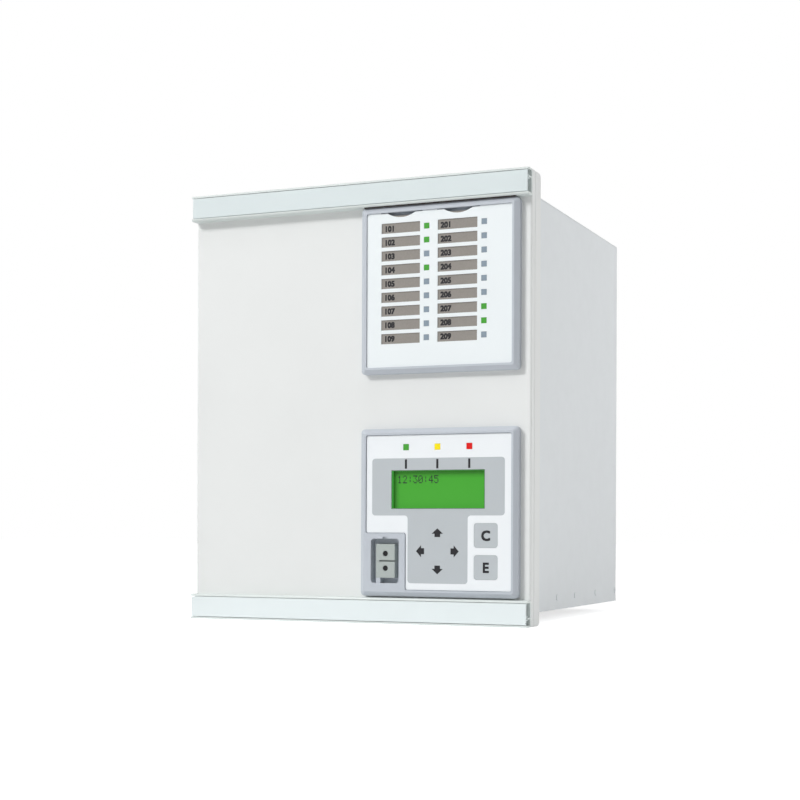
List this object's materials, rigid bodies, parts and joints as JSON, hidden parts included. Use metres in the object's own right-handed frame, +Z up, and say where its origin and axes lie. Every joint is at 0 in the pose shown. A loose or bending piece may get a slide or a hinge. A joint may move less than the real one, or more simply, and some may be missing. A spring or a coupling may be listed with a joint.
{
  "type": "protection relay",
  "caption": "Flush-mounted line protection relay: sheet steel case, light front plate between two label rails, indicator panel, operator panel with display, arrow keys and optical port.",
  "frame": {"origin": "middle of the footprint at the lower edge of the front plate", "axes": "+Z up, the front faces -Y and +Y runs to the rear terminals, +X to the right seen from the front"},
  "size_m": [0.2238, 0.2416, 0.2659],
  "materials": {
    "painted_front": "fine textured powder coat",
    "anodised_rail": "satin anodised",
    "label_strip": "smooth satin lacquer",
    "coated_sheet": "satin zinc-aluminium coating",
    "zinc_screws": "bright zinc plate",
    "grey_moulding": "fine moulded texture",
    "white_foil": "satin printed film",
    "printed_grey": "satin print",
    "key_grey": "satin film over the key",
    "label_card": "grey card under clear film",
    "lit_green": "lit window",
    "unlit_window": "unlit window",
    "lit_yellow": "lit window",
    "lit_red": "lit window",
    "display_green": "backlit display",
    "laminate": "solder resist on glass laminate",
    "black_moulding": "moulded",
    "optical_grey": "moulded",
    "connector_green": "moulded",
    "relay_case": "moulded",
    "winding": "varnished core and winding",
    "ribbon": "flat ribbon"
  },
  "bodies": {
    "relay": {"front_plate": "painted_front", "mounting_frame": "painted_front", "top_rail": "anodised_rail", "bottom_rail": "anodised_rail", "top_label_strip": "label_strip", "bottom_label_strip": "label_strip", "rail_screws": "zinc_screws", "led_bezel": "grey_moulding", "led_foil": "white_foil", "left_label_card": "label_card", "right_label_card": "label_card", "led_guides_lit": "lit_green", "led_guides_unlit": "unlit_window", "led_board": "laminate", "indicator_chips": "relay_case", "operator_bezel": "grey_moulding", "operator_foil": "white_foil", "printed_field": "printed_grey", "display_glass": "display_green", "display_frame": "zinc_screws", "operator_board": "laminate", "key_switches": "black_moulding", "status_guide_green": "lit_green", "status_guide_yellow": "lit_yellow", "status_guide_red": "lit_red", "optical_block": "optical_grey", "optical_diodes": "black_moulding", "bezel_screws": "zinc_screws", "board_screws": "zinc_screws", "ribbon_cable": "ribbon", "ribbon_plugs": "black_moulding", "case_hood": "coated_sheet", "case_bottom": "coated_sheet", "case_rivets": "coated_sheet", "upper_card_guides": "black_moulding", "lower_card_guides": "black_moulding", "backplane": "laminate", "backplane_brackets": "zinc_screws", "backplane_sockets": "relay_case", "plug_in_cards": "laminate", "input_transformers": "winding", "card_components": "black_moulding", "output_relays": "relay_case", "transformer_plate": "coated_sheet", "module_plates": "coated_sheet", "rear_screws": "zinc_screws", "terminal_block": "black_moulding", "terminal_screws": "zinc_screws", "headers": "connector_green", "wiring_plugs": "connector_green", "plug_screws": "zinc_screws", "fibre_connectors": "black_moulding", "earth_stud": "zinc_screws", "earth_nut": "zinc_screws"},
    "key_c": {"key_c": "key_grey"},
    "key_e": {"key_e": "key_grey"},
    "key_up": {"key_up": "key_grey"},
    "key_down": {"key_down": "key_grey"},
    "key_left": {"key_left": "key_grey"},
    "key_right": {"key_right": "key_grey"}
  },
  "joints": [
    {"name": "c_press", "type": "slide", "parent": "relay", "child": "key_c", "axis": [0, 1, 0], "range_m": [0, 0.0005], "stiffness_N_per_m": 3500},
    {"name": "e_press", "type": "slide", "parent": "relay", "child": "key_e", "axis": [0, 1, 0], "range_m": [0, 0.0005], "stiffness_N_per_m": 3500},
    {"name": "up_press", "type": "slide", "parent": "relay", "child": "key_up", "axis": [0, 1, 0], "range_m": [0, 0.0005], "stiffness_N_per_m": 3500},
    {"name": "down_press", "type": "slide", "parent": "relay", "child": "key_down", "axis": [0, 1, 0], "range_m": [0, 0.0005], "stiffness_N_per_m": 3500},
    {"name": "left_press", "type": "slide", "parent": "relay", "child": "key_left", "axis": [0, 1, 0], "range_m": [0, 0.0005], "stiffness_N_per_m": 3500},
    {"name": "right_press", "type": "slide", "parent": "relay", "child": "key_right", "axis": [0, 1, 0], "range_m": [0, 0.0005], "stiffness_N_per_m": 3500}
  ]
}
